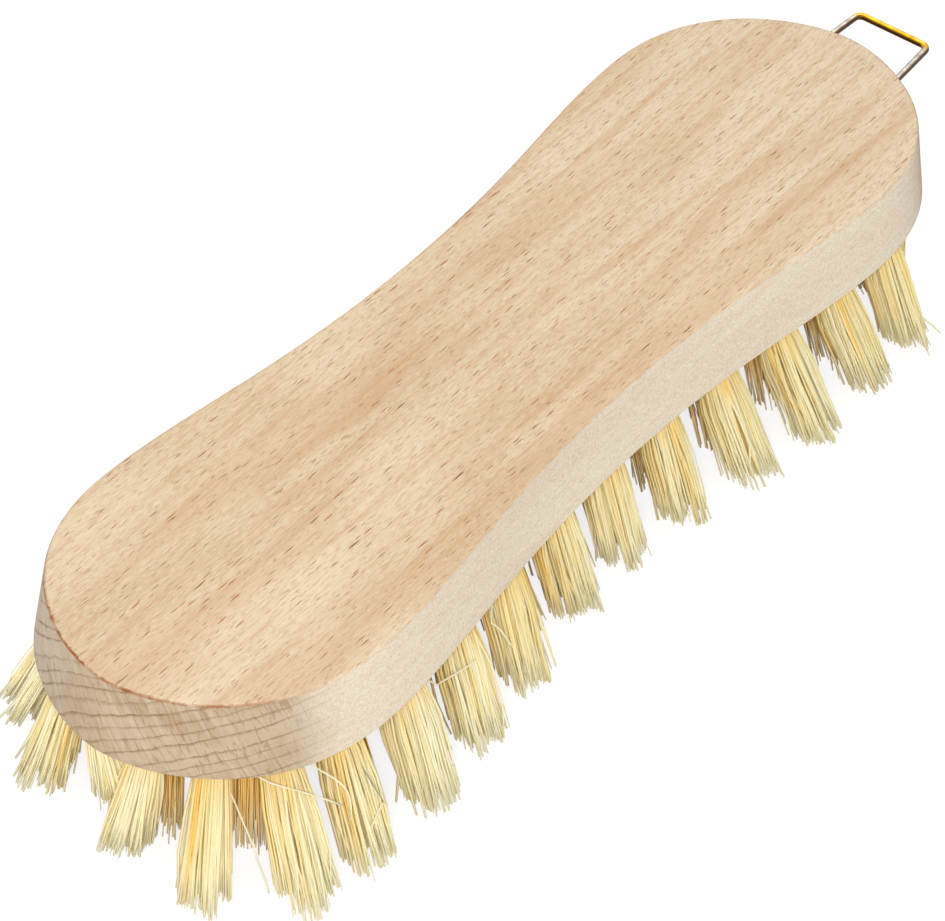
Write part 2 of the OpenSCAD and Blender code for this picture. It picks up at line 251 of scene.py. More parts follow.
# How far the tips of single outer tufts lie from the even pattern, outwards and across, the
# radius over which they spread, and how far they end above the floor. Tufts 0 to 10 and 28 to
# 33 are those that the photograph shows. 11, 12 and 27 are drawn in, so that they stay hidden.
TIP_SHIFTS = {
    0: (2.2, -2.0, 5.2, 0), 1: (0.9, -3.8, 5.4, 0), 2: (1.0, -3.8, 5.2, 0),
    3: (1.8, -4.6, 5.1, 0), 4: (0.0, -0.6, 5.0, 0), 5: (0.2, -0.8, 4.9, 0),
    6: (1.4, -0.6, 4.6, 0), 7: (2.8, 1.4, 5.3, 0), 8: (3.0, 2.4, 5.2, 0),
    9: (0.8, 3.2, 4.9, 0), 10: (0.2, -2.0, 4.7, 0), 11: (-9.0, -1.0, 4.2, 0),
    12: (-6.0, 0.0, 4.2, 0), 27: (-3.5, 0.0, 4.4, 0), 28: (5.6, 0.4, 5.5, 0),
    29: (3.2, -1.0, 4.8, 0), 30: (-4.2, -3.2, 4.9, 0), 31: (-9.5, 5.0, 5.0, 6.0),
    32: (-2.2, 1.6, 5.4, 0), 33: (-0.6, 0.4, 5.6, 0)}
OUTER_SHIFT = (0.4, 0.0, 5.0, 0)
# The inner tufts likewise, by the number of their pair
INNER_SHIFTS = {11: (3.0, -3.0, 5.4, 0), 12: (0.0, 0.0, 5.0, 0), 13: (1.0, 5.0, 5.0, 0)}
INNER_SHIFT = (4.6, -3.6, 5.6, 0)
CENTRE_SHIFT = (0, 0, 4.8, 0)

# Loose fibres that the photograph shows lying across or beside a tuft: four points of each, by
# the number of the outer tuft that they grow from
STRAYS = {
    0: [[(-80.3, -37.1, 13), (-81.2, -36.6, 11), (-82.1, -36.1, 8), (-82.7, -35.4, 5)]],
    1: [[(-63.4, -33.2, 13), (-63.8, -34.4, 10), (-63.4, -35.5, 8), (-62.2, -37.7, 6)],
        [(-56.2, -29.0, 15), (-54.5, -29.9, 15.8), (-52.5, -31.2, 17), (-50.0, -32.2, 18)]],
    3: [[(-42.2, -29.4, 18.5), (-41.3, -30.6, 17), (-40.7, -31.6, 15), (-39.9, -32.2, 13)]],
    10: [[(80.3, -32.5, 8), (81.6, -35.4, 5), (83.2, -37.3, 2.5), (83.7, -39.2, 1)]],
    28: [[(-86.3, -31.7, 20), (-85.4, -33.1, 18), (-84.8, -33.7, 15), (-85.3, -34.3, 11)]],
    29: [[(-94.2, -24.5, 21), (-91.8, -26.6, 19), (-89.0, -29.3, 16.8), (-85.1, -32.5, 13)],
         [(-98.3, -24.9, 9), (-98.7, -26.4, 6), (-98.8, -27.6, 3.5), (-98.9, -28.4, 1)]]}


def directions(tuft):
    """Down the tuft's hole, across it, outwards square to the hole, and the hole's mouth."""
    p, n, lean, _ = tuft
    s, c = math.sin(math.radians(lean)), math.cos(math.radians(lean))
    axis = np.array([n[0] * s, n[1] * s, -c])
    across = np.array([-n[1], n[0], 0.0])
    away = np.array([n[0] * c, n[1] * c, s])
    return axis, across, away, np.array([p[0], p[1], SOLE])


# ---- material nodes
def linear(r, g, b):
    """A colour given as it looks on a screen, 0 to 255."""
    def one(c):
        c /= 255
        return c / 12.92 if c <= 0.04045 else ((c + 0.055) / 1.055) ** 2.4
    return one(r), one(g), one(b), 1.0


class Nodes:
    """A new material on a Principled shader, with short names for the nodes that feed it."""

    def __init__(self, name):
        self.material = bpy.data.materials.new(name)
        self.material.use_nodes = True
        self.tree = self.material.node_tree
        self.tree.nodes.clear()
        self.out = self.add("ShaderNodeOutputMaterial")
        self.shader = self.add("ShaderNodeBsdfPrincipled")
        self.link(self.shader.outputs[0], self.out.inputs[0])

    def add(self, kind, **settings):
        node = self.tree.nodes.new(kind)
        for key, value in settings.items():
            setattr(node, key, value)
        return node

    def link(self, a, b):
        self.tree.links.new(a, b)

    def put(self, socket, value):
        if isinstance(value, (int, float, tuple, list)):
            socket.default_value = value
        else:
            self.link(value, socket)

    def surface(self, **values):
        """Fills sockets of the shader, named with _ for each space."""
        for key, value in values.items():
            self.put(self.shader.inputs[key.replace("_", " ")], value)

    def math(self, operation, a, b=0.0):
        node = self.add("ShaderNodeMath", operation=operation)
        self.put(node.inputs[0], a)
        self.put(node.inputs[1], b)
        return node.outputs[0]

    def plus(self, a, b):
        return self.math("ADD", a, b)

    def minus(self, a, b):
        return self.math("SUBTRACT", a, b)

    def times(self, a, b):
        return self.math("MULTIPLY", a, b)

    def larger(self, a, b):
        return self.math("MAXIMUM", a, b)

    def about_zero(self, noise, size):
        """A noise moved to lie about zero, times a size."""
        return self.times(self.minus(noise, 0.5), size)

    def mix(self, share, a, b):
        node = self.add("ShaderNodeMix", data_type="RGBA")
        self.put(node.inputs[0], share)
        self.put(node.inputs[6], a)
        self.put(node.inputs[7], b)
        return node.outputs[2]

    def span(self, value, a, b, low=0.0, high=1.0):
        """Goes smoothly from low to high while the value goes from a to b."""
        node = self.add("ShaderNodeMapRange", interpolation_type="SMOOTHSTEP")
        for socket, v in zip(node.inputs, (value, a, b, low, high)):
            self.put(socket, v)
        return node.outputs[0]

    def stretched(self, vector, scale):
        node = self.add("ShaderNodeVectorMath", operation="MULTIPLY")
        self.put(node.inputs[0], vector)
        node.inputs[1].default_value = scale
        return node.outputs[0]

    def noise(self, vector, scale, detail, rough=0.5, distortion=0.0):
        node = self.add("ShaderNodeTexNoise")
        self.put(node.inputs["Vector"], vector)
        node.inputs["Scale"].default_value = scale
        node.inputs["Detail"].default_value = detail
        node.inputs["Roughness"].default_value = rough
        node.inputs["Distortion"].default_value = distortion
        return node.outputs[0]

    def grain(self, place, per_mm, detail, rough=0.5, distortion=0.0):
        """Noise with a scale of its own along each axis."""
        return self.noise(self.stretched(place, per_mm), 1.0, detail, rough, distortion)

    def cells(self, vector):
        node = self.add("ShaderNodeTexVoronoi", feature="F1")
        self.put(node.inputs["Vector"], vector)
        node.inputs["Scale"].default_value = 1.0
        node.inputs["Randomness"].default_value = 1.0
        return node.outputs["Distance"], node.outputs["Color"]

    def parts(self, vector):
        node = self.add("ShaderNodeSeparateXYZ")
        self.put(node.inputs[0], vector)
        return node.outputs

    def joined(self, x, y, z):
        node = self.add("ShaderNodeCombineXYZ")
        for socket, v in zip(node.inputs, (x, y, z)):
            self.put(socket, v)
        return node.outputs[0]

    def place_mm(self):
        """The point of the object, in millimetres."""
        return self.stretched(self.add("ShaderNodeTexCoord").outputs["Object"], (1 / MM,) * 3)

    def zones(self):
        """The three numbers that the mesh carries at each of its corners."""
        node = self.add("ShaderNodeVertexColor", layer_name="zones")
        sep = self.add("ShaderNodeSeparateColor")
        self.link(node.outputs[0], sep.inputs[0])
        return sep.outputs

    def bump(self, height, strength, distance):
        node = self.add("ShaderNodeBump")
        node.inputs["Strength"].default_value = strength
        node.inputs["Distance"].default_value = distance
        self.put(node.inputs["Height"], height)
        self.link(node.outputs[0], self.shader.inputs["Normal"])


# ---- materials
# The wood's growth rings lie about a line along the grain, far below one side of the block.
# RING_ARC is the length of an arc of one radian about that line, near the block.
RING_LINE_Y, RING_LINE_Z, RING_WIDTH, RING_ARC = -52.0, -50.0, 2.3, 110.0


def wood_rings(n, place, y, z):
    """Distance from the rings' line, arc about it, place within a ring, its random number."""
    dy, dz = n.plus(y, -RING_LINE_Y), n.plus(z, -RING_LINE_Z)
    radius = n.math("SQRT", n.plus(n.times(dy, dy), n.times(dz, dz)))
    drift = n.grain(place, (0.010, 0.022, 0.022), 1.0)
    radius = n.plus(radius, n.about_zero(drift, 8.0))
    arc = n.times(n.math("ARCTAN2", dy, dz), RING_ARC)
    ring = n.math("DIVIDE", radius, RING_WIDTH)
    uneven = n.noise(n.joined(n.times(radius, 0.22), 0.0, 0.0), 1.0, 1.0)
    ring = n.plus(ring, n.times(uneven, 1.2))
    wobble = n.grain(place, (0.16, 0.30, 0.30), 3.0, 0.65)
    ring = n.plus(ring, n.times(wobble, 0.55))
    ring_random = n.noise(n.joined(n.math("FLOOR", ring), 3.0, 7.0), 3.7, 0.0)
    return radius, arc, n.math("FRACT", ring), ring_random


def wood_flecks(n, place, x, y, z):
    """Dark dashes along the grain in three sizes, and a random number for each dash."""
    sway = n.about_zero(n.grain(place, (0.5, 1.2, 1.2), 2.0), 0.3)
    swayed = n.joined(x, n.plus(n.plus(y, z), sway), n.minus(y, z))

    def dashes(per_mm, seed, width, share):
        spot = n.add("ShaderNodeVectorMath", operation="ADD")
        n.link(n.stretched(swayed, per_mm), spot.inputs[0])
        spot.inputs[1].default_value = (seed, seed * 0.7, seed * 1.3)
        distance, colour = n.cells(spot.outputs[0])
        there, big, strength = n.parts(colour)
        size = n.times(n.plus(0.4, n.times(big, 0.6)), width)
        shape = n.span(distance, size, n.times(size, 0.5))
        return n.times(shape, n.span(there, share, share - 0.04)), strength

    short, short_strength = dashes((0.18, 1.9, 0.7), 3.0, 0.30, 0.75)
    fine, fine_strength = dashes((0.33, 3.0, 1.0), 11.0, 0.30, 0.62)
    bold, bold_strength = dashes((0.13, 1.5, 0.6), 23.0, 0.27, 0.16)
    short = n.times(short, n.span(short_strength, 0.0, 1.0, 0.35, 1.0))
    fine = n.times(fine, n.span(fine_strength, 0.0, 1.0, 0.3, 0.8))
    bold = n.times(bold, n.span(bold_strength, 0.0, 1.0, 0.7, 1.0))
    return n.larger(n.larger(short, fine), bold), short_strength


def wood_end_grain(n, place, x, y, rings):
    """Greyish beige with thin ring lines, finer rays across them, and pores."""
    radius, arc, phase, ring_random = rings
    ray_place = n.joined(n.times(arc, 0.8), n.times(radius, 0.07), n.times(x, 0.05))
    ray = n.math("ABSOLUTE", n.minus(n.noise(ray_place, 1.0, 2.0, 0.6), 0.5))
    broken = n.noise(n.joined(arc, n.times(radius, 0.4), x), 0.7, 2.0)
    dark_ray = n.times(n.span(ray, 0.045, 0.0), n.times(n.span(broken, 0.36, 0.58), 0.50))
    blotch = n.grain(place, (0.06, 0.06, 0.12), 3.0, 0.6)
    end = n.mix(n.span(blotch, 0.3, 0.7), linear(184, 160, 130), linear(202, 181, 153))
    # Painted light: the end grows paler and greyer towards +Y.
    end = n.mix(n.span(y, 2.0, 24.0, 0.0, 0.60), end, linear(218, 205, 188))
    end = n.mix(n.span(ray, 0.10, 0.17, 0.0, 0.30), end, linear(218, 202, 178))
    end = n.mix(dark_ray, end, linear(140, 106, 74))
    faded = n.noise(n.joined(n.times(arc, 0.35), n.times(radius, 0.8), x), 1.0, 2.0)
    line = n.times(n.span(phase, 0.70, 0.94), n.span(phase, 1.0, 0.95))
    line = n.times(line, n.span(faded, 0.3, 0.6, 0.45, 1.0))
    line_share = n.times(line, n.span(ring_random, 0.3, 0.6, 0.45, 0.80))
    end = n.mix(line_share, end, linear(140, 108, 76))
    pores = n.grain(place, (0.9, 3.0, 3.0), 3.0, 0.7)
    return n.mix(n.span(pores, 0.52, 0.74, 0.0, 0.40), end, linear(150, 122, 92)), line


def wood_material():
    n = Nodes("beech")
    place = n.place_mm()
    x, y, z = n.parts(place)
    edge, endness, _ = n.zones()
    rings = wood_rings(n, place, y, z)
    _, _, phase, ring_random = rings

    # Top and sides: light tan, paler towards the loop, with ring bands and grain of many widths
    broad = n.grain(place, (0.018, 0.05, 0.08), 3.0, 0.55)
    base = n.mix(n.span(broad, 0.3, 0.7), linear(224, 198, 163), linear(242, 220, 188))
    base = n.mix(n.span(x, -30.0, 90.0, 0.0, 0.70), base, linear(244, 226, 195))
    late = n.times(n.span(phase, 0.45, 0.93), n.span(phase, 1.0, 0.94))
    band = n.times(late, n.span(ring_random, 0.35, 0.65, 0.25, 1.0))
    base = n.mix(n.times(band, 0.20), base, linear(212, 168, 124))
    fine = n.grain(place, (0.45, 2.6, 2.6), 4.0, 0.7)
    base = n.mix(n.span(fine, 0.45, 0.66, 0.0, 0.50), base, linear(206, 162, 120))
    pale = n.grain(place, (0.6, 3.0, 3.0), 3.0, 0.65)
    base = n.mix(n.span(pale, 0.47, 0.66, 0.0, 0.48), base, linear(250, 232, 202))
    wide = n.grain(place, (0.012, 0.11, 0.11), 2.0, 0.5, 0.5)
    base = n.mix(n.span(wide, 0.48, 0.66, 0.0, 0.32), base, linear(214, 168, 124))
    streak = n.grain(place, (0.022, 0.30, 0.30), 3.0, 0.6, 0.4)
    base = n.mix(n.span(streak, 0.50, 0.72, 0.0, 0.42), base, linear(214, 168, 124))
    thin = n.grain(place, (0.05, 0.95, 0.95), 2.0, 0.6, 0.3)
    base = n.mix(n.span(thin, 0.52, 0.70, 0.0, 0.34), base, linear(212, 162, 118))

    # Dark flecks, fainter on the side wall, which is greyer and finely speckled
    fleck, strength = wood_flecks(n, place, x, y, z)
    side = n.span(z, TOP - 0.05, TOP - 0.55)
    fleck = n.times(fleck, n.minus(1.0, n.times(side, 0.40)))
    fleck_colour = n.mix(n.span(strength, 0.35, 0.75), linear(112, 70, 36), linear(176, 98, 52))
    long_grain = n.mix(n.times(fleck, 0.92), base, fleck_colour)
    speckle = n.span(n.grain(place, (2.4, 2.4, 2.4), 2.0, 0.6), 0.35, 0.65)
    side_colour = n.mix(speckle, linear(218, 209, 190), linear(240, 235, 221))
    long_grain = n.mix(n.times(side, 0.60), long_grain, side_colour)

    end, line = wood_end_grain(n, place, x, y, rings)
    end_share = n.times(n.span(endness, 0.0, 0.34), side)
    colour = n.mix(end_share, long_grain, end)

    # The top edge is rubbed to a thin, wavering, reddish line, strongest round the ends
    broken = n.span(n.grain(place, (0.35, 0.35, 0.35), 3.0, 0.7), 0.30, 0.62, 0.25, 1.0)
    waver = n.about_zero(n.grain(place, (0.6, 0.6, 0.1), 3.0, 0.7), 0.7)
    off = n.math("ABSOLUTE", n.plus(n.minus(z, TOP - 0.30), waver))
    edge = n.times(edge, n.span(off, 0.34, 0.06))
    rubbed = n.times(n.times(edge, broken), n.span(endness, 0.05, 0.8, 0.15, 1.0))
    n.surface(Base_Color=n.mix(rubbed, colour, linear(156, 92, 48)),
              Roughness=n.plus(0.62, n.times(fine, 0.16)), Specular_IOR_Level=0.12)
    height = n.minus(n.times(fine, 0.5), n.times(fleck, 0.9))
    height = n.minus(height, n.times(n.times(line, end_share), 0.5))
    n.bump(height, 0.45, 0.00012)
    return n.material


def fibre_material():
    """Pale straw; golden at the roots and where ochre, partly the fibres' own tone and partly
    painted shade; palest at the tips.
    """
    n = Nodes("plant_fibre")
    tone, along, ochre_and_painted_shade = n.zones()
    place = n.place_mm()
    pale = n.mix(tone, linear(246, 232, 174), linear(250, 243, 208))
    warm_and_painted_shade = n.mix(tone, linear(242, 210, 122), linear(248, 228, 156))
    colour = n.mix(ochre_and_painted_shade, pale, warm_and_painted_shade)
    # Painted shade: fibres high in ochre, the inner and centre tufts above all, are painted a
    # deeper orange.
    colour = n.mix(n.span(ochre_and_painted_shade, 0.85, 0.95, 0.0, 0.70), colour, linear(250, 202, 106))
    colour = n.mix(n.span(along, 0.55, 1.0, 0.0, 0.55), colour, linear(248, 242, 208))
    colour = n.mix(n.span(along, 0.45, 0.06, 0.0, 0.55), colour, linear(240, 202, 108))
    mottle = n.grain(place, (1.3, 1.3, 0.35), 2.0)
    colour = n.mix(n.span(mottle, 0.55, 0.8, 0.0, 0.25), colour, linear(240, 202, 112))
    n.surface(Base_Color=colour, Roughness=0.62, Specular_IOR_Level=0.05)
    n.bump(n.grain(place, (6, 6, 0.8), 1.0), 0.15, 0.00005)
    return n.material


def wire_material():
    """Brass, worn to grey on the legs, with painted shade and a painted dark reflection on its
    lower and near side.
    """
    n = Nodes("loop_wire")
    place = n.place_mm()
    x, _, _ = n.parts(place)
    bar_x = (CAD_BOX[1][0] / MM) - WIRE_R
    worn = n.grain(place, (0.5, 0.5, 0.5), 3.0, 0.6)
    leg = n.times(n.span(x, bar_x - 0.5, bar_x - 2.2), n.span(worn, 0.25, 0.5, 0.55, 1.0))
    brass = n.mix(n.span(worn, 0.40, 0.66), linear(240, 196, 60), linear(214, 156, 34))
    steel = n.mix(n.span(worn, 0.3, 0.7), linear(214, 210, 204), linear(170, 160, 144))
    # Painted shade and a painted dark reflection: faces turned away from a fixed direction, up
    # and towards +X and +Y, are painted dark brown.
    nx, ny, nz = n.parts(n.add("ShaderNodeNewGeometry").outputs["Normal"])
    painted_light_facing = n.plus(n.times(nx, 0.35), n.plus(n.times(ny, 0.55), n.times(nz, 0.75)))
    painted_shade_and_reflection = n.span(painted_light_facing, 0.50, 0.10, 0.0, 0.95)
    n.surface(Base_Color=n.mix(painted_shade_and_reflection, n.mix(leg, brass, steel), linear(84, 50, 16)),
              Metallic=1.0, Roughness=n.plus(0.24, n.times(worn, 0.22)))
    n.bump(worn, 0.2, 0.00005)
    return n.material


def anchor_material():
    n = Nodes("anchor_wire")
    grain = n.grain(n.place_mm(), (0.6, 6, 6), 2.0)
    n.surface(Base_Color=n.mix(grain, linear(150, 148, 142), linear(196, 194, 188)),
              Metallic=1.0, Roughness=n.plus(0.3, n.times(grain, 0.2)))
    return n.material


WOOD, FIBRE, WIRE, ANCHOR = wood_material(), fibre_material(), wire_material(), anchor_material()


# ---- the block
# How strongly the rubbed line shows on each ring of the rounded top edge
EDGE_RINGS = (1.0, 1.0, 1.0, 1.0, 0.7, 0.2)
DRILL_SIDES, DRILL_START = 20, 2.0


def block_levels():
    """Rings from the sole up: height, reach beyond the top's outline, and rubbed line."""
    levels = [(SOLE, wall_out(SOLE) - SOLE_BEVEL, 0),
              (SOLE + 0.15, wall_out(SOLE) - 0.15, 0),
              (SOLE + SOLE_BEVEL, wall_out(SOLE + SOLE_BEVEL), 0)]
    levels += [(z, wall_out(z), 0) for z in np.linspace(SOLE + 3, TOP - 2, 4)]
    for k, edge in enumerate(EDGE_RINGS):
        a = math.radians(90 * k / (len(EDGE_RINGS) - 1))
        z = TOP - TOP_ROUND * (1 - math.sin(a))
        levels.append((z, wall_out(z) - TOP_ROUND * (1 - math.cos(a)), edge))
    return levels + [(TOP, -TOP_ROUND - 0.2, 0)]


def solid_block():
    outline = whole_outline(quarter_outline(44, 34))
    normals = outward_normals(outline)
    count = len(outline)
    levels = block_levels()
    verts, zones, faces = [], [], []
    for z, out, edge in levels:
        verts.append(np.column_stack([outline + out * normals, np.full(count, z)]))
        zones.append(np.column_stack([np.full(count, edge), normals[:, 0] ** 2,
                                      np.zeros(count), np.ones(count)]))
    for r in range(len(levels) - 1):
        a, b = r * count, (r + 1) * count
        faces += [(a + i, a + (i + 1) % count, b + (i + 1) % count, b + i)
                  for i in range(count)]
    faces.append(tuple(range(count))[::-1])
    top = (len(levels) - 1) * count
    faces.append(tuple(range(top, top + count)))
    return make_mesh("block", to_cad(np.vstack(verts)), faces, True, np.vstack(zones))


def all_drills():
    """One cutter for all the tuft holes and the loop's two holes."""
    verts, faces = [], []

    def drill(start, direction, radius, length):
        d = np.array(direction, float) / np.linalg.norm(direction)
        u = np.cross(d, [0.3, 0.2, 0.9] if abs(d[2]) < 0.7 else [0.9, 0.3, 0.1])
        u /= np.linalg.norm(u)
        v = np.cross(d, u)
        near = [len(verts) + k for k in range(DRILL_SIDES)]
        far = [k + DRILL_SIDES for k in near]
        for at in (start, start + d * length):
            for a in circle(DRILL_SIDES):
                verts.append(at + radius * (math.cos(a) * u + math.sin(a) * v))
        for k in range(DRILL_SIDES):
            m = (k + 1) % DRILL_SIDES
            faces.append((near[k], far[k], far[m], near[m]))
        faces.append(tuple(near))
        faces.append(tuple(far)[::-1])

    for tuft in every_tuft:
        axis, _, _, mouth = directions(tuft)
        drill(mouth + DRILL_START * axis, -axis, HOLE_R, HOLE_DEPTH + DRILL_START)
    for side in (-1, 1):
        along = np.array([math.cos(TOE), -side * math.sin(TOE), 0])
        base = np.array([HALF_LENGTH + wall_out(LOOP_Z), LOOP_Y + side * BASE_W / 2, LOOP_Z])
        drill(base + DRILL_START * along, -along, WIRE_R + WIRE_CLEARANCE,
              LEG_DEPTH + DRILL_START + WIRE_CLEARANCE)
    return make_mesh("cutter", to_cad(verts), faces, False)


def block_piece():
    block, cutter = solid_block(), all_drills()
    cut = block.modifiers.new("holes", "BOOLEAN")
    cut.operation, cut.solver, cut.object = "DIFFERENCE", "EXACT", cutter
    graph = bpy.context.evaluated_depsgraph_get()
    drilled = bpy.data.meshes.new_from_object(block.evaluated_get(graph))
    block.modifiers.clear()
    block.data = drilled
    bpy.data.objects.remove(cutter)
    drilled.polygons.foreach_set("use_smooth", [True] * len(drilled.polygons))
    drilled.set_sharp_from_angle(angle=math.radians(32))
    drilled.materials.clear()
    drilled.materials.append(WOOD)
    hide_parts("brush_block")
    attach(block, "root")


# ---- the hanging loop
WIRE_SIDES, BEND_STEPS = 24, 12


def tube(points, headings, radius, sides):
    """Rings about a level line, closed at both ends."""
    verts, faces = [], []
    for (px, py), h in zip(points, headings):
        right = np.array([math.sin(h), -math.cos(h), 0])
        for a in circle(sides):
            around = math.cos(a) * right + np.array([0, 0, math.sin(a)])
            verts.append(np.array([px, py, LOOP_Z]) + radius * around)
    rings = len(points)
    for r in range(rings - 1):
        for k in range(sides):
            a, m = r * sides, (k + 1) % sides
            faces.append((a + k, a + m, a + sides + m, a + sides + k))
    faces.append(tuple(range(sides))[::-1])
    faces.append(tuple(range((rings - 1) * sides, rings * sides)))
    return verts, faces


def loop_piece():
    turn = math.pi / 2 - TOE
    run = BEND_R * math.tan(turn / 2)
    end_x = HALF_LENGTH + wall_out(LOOP_Z)
    bar_x = end_x + REACH

    def leg(side, back):
        y = LOOP_Y + side * (BASE_W / 2 + back * math.sin(TOE))
        return end_x - back * math.cos(TOE), y

    def bend(side, a):
        y = LOOP_Y + side * (BAR_W / 2 - run + BEND_R * math.sin(a))
        return bar_x - BEND_R + BEND_R * math.cos(a), y

    angles = [turn * k / BEND_STEPS for k in range(BEND_STEPS + 1)]
    points = [leg(-1, LEG_DEPTH), leg(-1, 0), leg(-1, -REACH / 2)]
    points += [bend(-1, a) for a in angles[::-1]] + [bend(1, a) for a in angles]
    points += [leg(1, -REACH / 2), leg(1, 0), leg(1, LEG_DEPTH)]
    headings = [TOE] * 3 + [math.pi / 2 - a for a in angles[::-1]]
    headings += [math.pi / 2 + a for a in angles] + [math.pi - TOE] * 3
    verts, faces = tube(points, headings, WIRE_R, WIRE_SIDES)
    loop = make_mesh("loop", to_cad(verts), faces)
    loop.data.set_sharp_from_angle(angle=math.radians(50))
    loop.data.materials.append(WIRE)
    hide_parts("hanging_loop")
    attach(loop, "root")


# ---- the bristles
# A fibre has one ring in its hole, and one at each of these shares of its free length
RINGS = np.array([0.0, 0.20, 0.46, 0.74, 1.0])
TAPER = np.array([0.9, 1.0, 1.0, 0.97, 0.88, 0.55])
# How deep the first ring lies in the hole, and the radius in which the roots are packed
ROOT_DEPTH, ROOT_R, GOLDEN_ANGLE = 5.2, 2.42, 2.399963
# Half the width of a fibre, and the lowest that its middle line lies
THINNEST, THICKEST, STRAY_R, LOWEST = 0.20, 0.36, 0.17, 0.02
OUTER_COUNT, INNER_COUNT, CENTRE_COUNT = 270, 120, 80
# Painted shade: how golden each group's fibres are painted, highest for the inner and centre
# tufts, which lie in the shade under the block.
OUTER_PAINTED_SHADE, INNER_PAINTED_SHADE, CENTRE_PAINTED_SHADE = 0.0, 0.95, 0.90
OUTER_SEED, INNER_SEED, CENTRE_SEED = 500, 700, 900
OUTER_SIDES, INNER_SIDES = 4, 3


def fibre_rings(rng, path, across, size, sides):
    """The corners of flattened rings about each fibre's line."""
    count = len(path)
    tangent = np.gradient(path, axis=1)
    tangent /= np.linalg.norm(tangent, axis=2)[..., None]
    e1 = np.cross(tangent, across)
    e1 /= np.linalg.norm(e1, axis=2)[..., None]
    e2 = np.cross(tangent, e1)
    turn = rng.uniform(0, 2 * math.pi, count)[:, None, None]
    flat = rng.uniform(0.5, 0.9, count)[:, None, None]
    cosine, sine = np.cos(circle(sides))[None, None], np.sin(circle(sides))[None, None]
    ring_u = cosine * np.cos(turn) - flat * sine * np.sin(turn)
    ring_v = cosine * np.sin(turn) + flat * sine * np.cos(turn)
    scale = (size[:, None] * TAPER[None])[..., None]
    verts = path[:, :, None] + (scale * ring_u)[..., None] * e1[:, :, None]
    verts = verts + (scale * ring_v)[..., None] * e2[:, :, None]
    verts[..., 2] = np.maximum(verts[..., 2], 0.0)
    return verts


def fibre_zones(rng, ochre_and_painted_shade, u, v, nearest, clumps, sides):
    """Tone, share of the length, and ochre with painted shade at each corner of each fibre."""
    count = len(u)
    clump_tone, clump_warm = rng.uniform(0.3, 1.0, clumps), rng.uniform(0, 1, clumps)
    tone = np.clip(clump_tone[nearest] + rng.normal(0, 0.12, count), 0, 1)
    warm_and_painted_shade = ochre_and_painted_shade + np.where(clump_warm[nearest] < 0.22, 0.45, 0)
    warm_and_painted_shade = warm_and_painted_shade + np.where(rng.uniform(0, 1, count) < 0.12, 0.50, 0)
    # Painted shade: fibres on the side that faces the middle of the brush, and on the -across
    # side of each tuft, are more golden.
    warm_and_painted_shade = warm_and_painted_shade + 0.65 * np.clip((0.05 - v) / 0.9, 0, 1)
    warm_and_painted_shade = warm_and_painted_shade + 0.25 * np.clip((-0.3 - u) / 0.6, 0, 1)
    warm_and_painted_shade = np.clip(warm_and_painted_shade + rng.normal(0, 0.12, count), 0, 1)
    along = np.concatenate([[0.0], RINGS])
    zones = np.zeros((count, len(along), sides, 4))
    zones[..., 0] = tone[:, None, None]
    zones[..., 1] = along[None, :, None]
    zones[..., 2] = warm_and_painted_shade[:, None, None]
    zones[..., 3] = 1
    return zones


